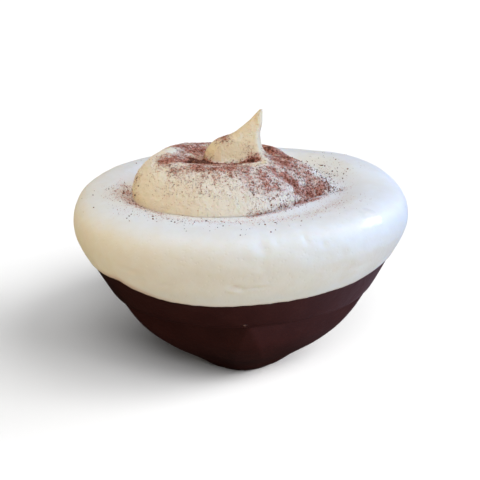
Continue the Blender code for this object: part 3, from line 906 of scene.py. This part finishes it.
def mousseDust(grid, normal):
    x, y, z = grid[..., 0], grid[..., 1], grid[..., 2]
    faceUp = smoothStep((normal[..., 2] - 0.15) / 0.55)
    patchy = 1 + 0.50 * lumps(grid, 2.2, 41.0) + 0.40 * lumps(grid, 1.0, 47.0)
    climb = 1.3 + 0.9 * lumps(grid, 1.3, 53.0) + 0.9 * fade(x - 4.0, 3.0)
    onPeak = smoothStep((z - mousse["peakFoot"] - climb) / 0.9) * (radiusFrom(grid, 0.0, mousse["peakY"]) < 12)
    dust = laidOn(x, y, cocoa["onMousse"]) * (0.25 + 0.75 * faceUp) * patchy * (1 - onPeak)
    dust += laidOn(x, y, cocoa["onFoot"]) * fade(np.maximum(z - 46.0, 0.0), 0.7) * (0.6 + lumps(grid, 1.6, 57.0)) * (1 - onPeak)
    lump = 0.65 * fade(x + 3.4, 1.9) * fade(z - 60.0, 1.5) * smoothStep((normal[..., 2] - 0.1) / 0.5)
    lump += 0.26 * fade(x - 2.2, 1.2) * fade(z - 57.0, 2.2) * (normal[..., 1] < -0.5)
    crumbs = laidOn(x, y, cocoa["crumbsOnMousse"]) * (1 - onPeak)
    # the density runs up to 1.4 so the dust shader can paint shade where it is highest; fewer powder grains are strewn
    # past about 1
    dust = np.clip(dust + lump, 0, 1.4)
    grains = np.minimum(dust, 1.0) * (1 - 0.8 * smoothStep((dust - 0.95) / 0.35))
    return {"cocoa": dust, "powder": grains, "crumbs": np.clip(crumbs, 0, 3)}


def makeScatterTree():
    # strews grains over the foods, closer together where the named mask is high
    tree, source, sink = newTree(
        "strewnCocoa", "GeometryNodeTree",
        {"Geometry": "Geometry", "Cream": "Object", "Mousse": "Object", "Mask": "String", "Per Area": "Float",
         "Size": "Float", "Sides": "Int", "Rings": "Int", "Seed": "Int", "Material": "Material"},
        {"Geometry": "Geometry"})
    both = tree.nodes.new("GeometryNodeJoinGeometry")
    for label in ("Cream", "Mousse"):
        surface = addNode(tree, "GeometryNodeObjectInfo", {"Object": source[label]}).outputs["Geometry"]
        tree.links.new(surface, both.inputs[0])
    mask = addNode(tree, "GeometryNodeInputNamedAttribute", {"Name": source["Mask"]}, data_type="FLOAT").outputs[0]
    density = calc(tree, "MULTIPLY", mask, source["Per Area"])
    points = addNode(tree, "GeometryNodeDistributePointsOnFaces",
                     {"Mesh": both.outputs[0], "Density": density, "Seed": source["Seed"]}, distribute_method="RANDOM")
    grain = addNode(tree, "GeometryNodeMeshUVSphere",
                    {"Segments": source["Sides"], "Rings": source["Rings"], "Radius": source["Size"]}).outputs["Mesh"]
    spin = addNode(tree, "FunctionNodeRandomValue",
                   {"Min": (0.0, 0.0, 0.0), "Max": (circle, circle, circle), "Seed": 3}, data_type="FLOAT_VECTOR").outputs[0]
    shape = addNode(tree, "FunctionNodeRandomValue",
                    {"Min": (0.55, 0.55, 0.45), "Max": (1.35, 1.35, 1.0), "Seed": 5}, data_type="FLOAT_VECTOR").outputs[0]
    chance = addNode(tree, "FunctionNodeRandomValue", {2: 0.0, 3: 1.0, "Seed": 7}, data_type="FLOAT").outputs[1]
    spread = calc(tree, "MULTIPLY_ADD", calc(tree, "POWER", chance, 3.0), 1.2, 0.6)
    scale = addNode(tree, "ShaderNodeVectorMath", {0: shape, "Scale": spread}, operation="SCALE").outputs[0]
    laid = addNode(tree, "GeometryNodeInstanceOnPoints",
                   {"Points": points.outputs["Points"], "Instance": grain, "Rotation": spin, "Scale": scale}).outputs[0]
    finishTree(tree, sink, laid, source["Material"])
    return tree


def makeCocoaMaterial(name, light, dark):
    # dry cocoa: dull, from red-brown to nearly black from grain to grain
    made, tree, shader = newMaterial(name, {"Specular IOR Level": 0.2})
    place = addNode(tree, "ShaderNodeTexCoord").outputs["Object"]
    tone = noiseNode(tree, place, 0.7, 2.0)
    grit = noiseNode(tree, place, 0.08, 2.0)
    tree.links.new(mixColour(tree, ramp(tree, tone, 0.36, 0.64), dark, light), shader.inputs["Base Color"])
    tree.links.new(calc(tree, "MULTIPLY_ADD", grit, 0.25, 0.72), shader.inputs["Roughness"])
    tree.links.new(bumpNode(tree, grit, 0.03), shader.inputs["Normal"])
    return made


def makeCocoa(creamPiece, moussePiece):
    tree = makeScatterTree()
    powder = {"Cream": creamPiece, "Mousse": moussePiece, "Mask": "powder", "Per Area": cocoa["powderPerSquareMetre"],
              "Size": cocoa["powderSize"] * mm, "Sides": 4, "Rings": 2, "Seed": 12,
              "Material": makeCocoaMaterial("cocoaPowder", cocoa["powderLight"], cocoa["powderDark"])}
    crumbs = {**powder, "Mask": "crumbs", "Per Area": cocoa["crumbsPerSquareMetre"], "Size": cocoa["crumbSize"] * mm,
              "Sides": 6, "Rings": 4, "Seed": 29,
              "Material": makeCocoaMaterial("cocoaCrumbs", cocoa["crumbLight"], cocoa["crumbDark"])}
    return [runTree("cocoa_powder", tree, bpy.data.meshes.new("powderStart"), powder),
            runTree("cocoa_crumbs", tree, bpy.data.meshes.new("crumbStart"), crumbs)]


# a small crumb of lighter chocolate on the cup's seam

fleck = {"turn": 0.6, "height": 24.35, "halfWidth": 0.55, "halfHeight": 0.25, "thickness": 0.2}


def makeFleck():
    material, tree, shader = newMaterial("chocolateCrumb", {"Roughness": 0.6})
    place = addNode(tree, "ShaderNodeTexCoord").outputs["Object"]
    tone = ramp(tree, noiseNode(tree, place, 0.3), 0.35, 0.65)
    tree.links.new(mixColour(tree, tone, chocolate["plain"], chocolate["crumb"]), shader.inputs["Base Color"])
    tree.links.new(bumpNode(tree, tone, 0.05), shader.inputs["Normal"])
    around = np.linspace(0, circle, 24, endpoint=False)
    turn = math.radians(fleck["turn"])
    out = np.array([math.sin(turn), -math.cos(turn), 0.0])
    across = np.array([math.cos(turn), math.sin(turn), 0.0])
    middle = out * float(bandRadius(fleck["height"])) + np.array([0.0, 0.0, fleck["height"]])
    rows = []
    for angle in np.linspace(-0.45 * math.pi, 0.45 * math.pi, 10):
        size = math.cos(angle) * (1 + 0.18 * np.sin(3 * around + 0.6))
        spread = np.outer(fleck["halfWidth"] * size * np.cos(around), across)
        spread[:, 2] += fleck["halfHeight"] * size * np.sin(around)
        rows.append(middle + spread + out * fleck["thickness"] * math.sin(angle))
    grid = np.array(rows)
    made = closedRings("chocolate_crumb", grid, {})
    made.data.materials.append(material)
    return made


# floor, camera and light

view = {
    "lookAt": (0.0, 0.0, 38.8),
    "elevation": 18.0,
    "distance": 230.0,
    "roll": -1.8,
    "lens": 68.59,
    "shiftUp": -0.05,
}

light = {
    "softBoxes": {              # direction it shines from, power, colour, size
        "top": ((0.0, 0.0, 1.0), 4.95, (0.75, 0.84, 1.0), 1.0),
        "rightFront": ((0.75, -0.65, 0.25), 4.4, (0.78, 0.97, 1.0), 1.0),
        "right": ((1.0, 0.1, 0.25), 6.9, (0.064, 0.30, 1.0), 1.0),
        "left": ((-1.0, -0.1, 0.3), 3.05, (1.0, 0.71, 0.12), 1.0),
        "front": ((0.0, -1.0, 0.35), 1.15, (1.0, 0.80, 0.95), 1.0),
        "backRight": ((0.7, 0.7, 0.5), 0.9, (1.0, 0.75, 0.35), 0.8),
    },
    "windowFrom": (0.667, 0.384, 0.647),
    "windowPower": 3.4,
    "windowColour": (1.0, 1.0, 1.0),
    "windowSize": (0.34, 0.44),
    "distance": 0.8,
    "ambient": (0.08, 0.08, 0.08, 1.0),
    "floorSuns": {              # direction it shines from, power, angle
        "floorSunFront": ((0.133, -0.754, 0.643), 2.05, 32.0),
        "floorSunRight": ((0.587, -0.492, 0.643), 2.27, 32.0),
        "floorSunLow": ((0.940, 0.0, 0.342), 1.95, 28.0),
    },
    "floorSeen": (0.9, 0.9, 0.9, 1.0),
    "floorThrown": (0.54, 0.50, 0.425, 1.0),    # what the floor throws back on the dessert
    "floorMirrored": (0.22, 0.18, 0.23, 1.0),   # and what shines in the chocolate, out in the light
    "floorShaded": (0.025, 0.022, 0.022, 1.0),  # and near the foot, on the shaded side
    "shadedReach": (20.0, 90.0),
    "cupLampFrom": (0.85, -0.45, 0.10),
    "cupLampPower": 3.7,
    "cupLampColour": (1.0, 0.76, 0.66),
}


def makeFloor():
    mesh = bpy.data.meshes.new("floor")
    far, near = 30.0, 1.0
    mesh.from_pydata([(-far, -near, 0.0), (far, -near, 0.0), (far, far, 0.0), (-far, far, 0.0)], [], [(0, 1, 2, 3)])
    floor = addObject("floor", mesh)
    made = bpy.data.materials.new("paleFloor")
    made.use_nodes = True
    tree = made.node_tree
    tree.nodes.clear()
    seen = addNode(tree, "ShaderNodeBsdfDiffuse", {"Color": light["floorSeen"]}).outputs[0]
    thrown = addNode(tree, "ShaderNodeBsdfDiffuse", {"Color": light["floorThrown"]}).outputs[0]
    place = addNode(tree, "ShaderNodeTexCoord").outputs["Object"]
    point = addNode(tree, "ShaderNodeSeparateXYZ", {"Vector": place}).outputs
    away = addNode(tree, "ShaderNodeVectorMath", {0: place}, operation="LENGTH").outputs["Value"]
    # painted shadow: rays glancing off the chocolate see the floor go from floorMirrored out in the light to
    # floorShaded near the foot and on the left
    lit = ramp(tree, calc(tree, "MULTIPLY_ADD", point["X"], 0.9, away),
               light["shadedReach"][0] * mm, light["shadedReach"][1] * mm)
    mirrorColour = mixColour(tree, lit, light["floorShaded"], light["floorMirrored"])
    mirrored = addNode(tree, "ShaderNodeBsdfDiffuse", {"Color": mirrorColour}).outputs[0]
    path = addNode(tree, "ShaderNodeLightPath").outputs
    both = addNode(tree, "ShaderNodeMixShader", {0: path["Is Glossy Ray"], 1: thrown, 2: mirrored}).outputs[0]
    both = addNode(tree, "ShaderNodeMixShader", {0: path["Is Camera Ray"], 1: both, 2: seen}).outputs[0]
    addNode(tree, "ShaderNodeOutputMaterial", {"Surface": both})
    floor.data.materials.append(made)
    return floor


def makeCamera():
    lift = math.radians(view["elevation"])
    back = Vector((0.0, -math.cos(lift), math.sin(lift)))
    data = bpy.data.cameras.new("camera")
    data.lens = view["lens"]
    data.sensor_width = 36.0
    data.shift_y = view["shiftUp"]
    data.clip_start = 1 * mm
    data.clip_end = 100.0
    camera = addObject("camera", data)
    camera.location = Vector(view["lookAt"]) * mm + back * view["distance"] * mm
    camera.rotation_mode = "QUATERNION"
    roll = Quaternion((0.0, 0.0, 1.0), math.radians(view["roll"]))
    camera.rotation_quaternion = back.to_track_quat("Z", "Y") @ roll
    bpy.context.scene.camera = camera


def makeLamp(name, kind, towards, distance, settings):
    data = bpy.data.lights.new(name, kind)
    for key, value in settings.items():
        setattr(data, key, value)
    lamp = addObject(name, data)
    direction = Vector(towards).normalized()
    lamp.location = direction * distance + Vector(view["lookAt"]) * mm
    lamp.rotation_mode = "QUATERNION"
    lamp.rotation_quaternion = direction.to_track_quat("Z", "Y")
    return lamp


def lightOnly(lamp, objects):
    # the lamp lights these objects and nothing else
    group = bpy.data.collections.new(lamp.name + "Lights")
    for piece in objects:
        group.objects.link(piece)
    lamp.light_linking.receiver_collection = group


def makeLight(floor, pieces):
    for name, (towards, power, colour, size) in light["softBoxes"].items():
        box = makeLamp(name, "AREA", towards, light["distance"],
                       {"energy": power, "color": colour, "shape": "SQUARE", "size": size})
        lightOnly(box, pieces)
    wide, high = light["windowSize"]
    window = makeLamp("window", "AREA", light["windowFrom"], light["distance"],
                      {"energy": light["windowPower"], "color": light["windowColour"], "shape": "RECTANGLE",
                       "size": wide, "size_y": high})
    window.visible_diffuse = False      # it only gives the glints
    lightOnly(window, pieces)
    cupLamp = makeLamp("cupLamp", "AREA", light["cupLampFrom"], light["distance"],
                       {"energy": light["cupLampPower"], "color": light["cupLampColour"], "shape": "SQUARE",
                        "size": 0.35})
    lightOnly(cupLamp, pieces[:1])
    for name, (towards, power, angle) in light["floorSuns"].items():
        sun = makeLamp(name, "SUN", towards, light["distance"], {"energy": power, "angle": math.radians(angle)})
        lightOnly(sun, [floor])
    world = bpy.data.worlds.new("studio")
    world.use_nodes = True
    tree = world.node_tree
    tree.nodes.clear()
    straight = addNode(tree, "ShaderNodeLightPath").outputs["Is Camera Ray"]
    around = addNode(tree, "ShaderNodeBackground", {"Color": light["ambient"], "Strength": 1.0}).outputs[0]
    seen = addNode(tree, "ShaderNodeBackground", {"Color": (1.0, 1.0, 1.0, 1.0), "Strength": 1.0}).outputs[0]
    both = addNode(tree, "ShaderNodeMixShader", {0: straight, 1: around, 2: seen}).outputs[0]
    addNode(tree, "ShaderNodeOutputWorld", {"Surface": both})
    bpy.context.scene.world = world
    bpy.context.scene.view_settings.view_transform = "Standard"


# putting it together

cupPiece = makeCup()
print("cup made")
creamPiece = makeCream()
print("cream made")
moussePiece = makeMousse()
print("mousse made")
powderPiece, crumbPiece = makeCocoa(creamPiece, moussePiece)
print("cocoa strewn:", len(powderPiece.data.polygons), "and", len(crumbPiece.data.polygons), "faces")
fleckPiece = makeFleck()

slots = {cupPiece: "dark_chocolate", creamPiece: "white_cream", moussePiece: "coffee_mousse", powderPiece: "cocoa",
         crumbPiece: "cocoa", fleckPiece: "dark_chocolate"}
for piece, slotName in slots.items():
    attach(piece, "root")
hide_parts("chocolate_cup")
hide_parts("white_cream")
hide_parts("coffee_mousse")

floor = makeFloor()
makeCamera()
makeLight(floor, list(slots))
print("stage set")
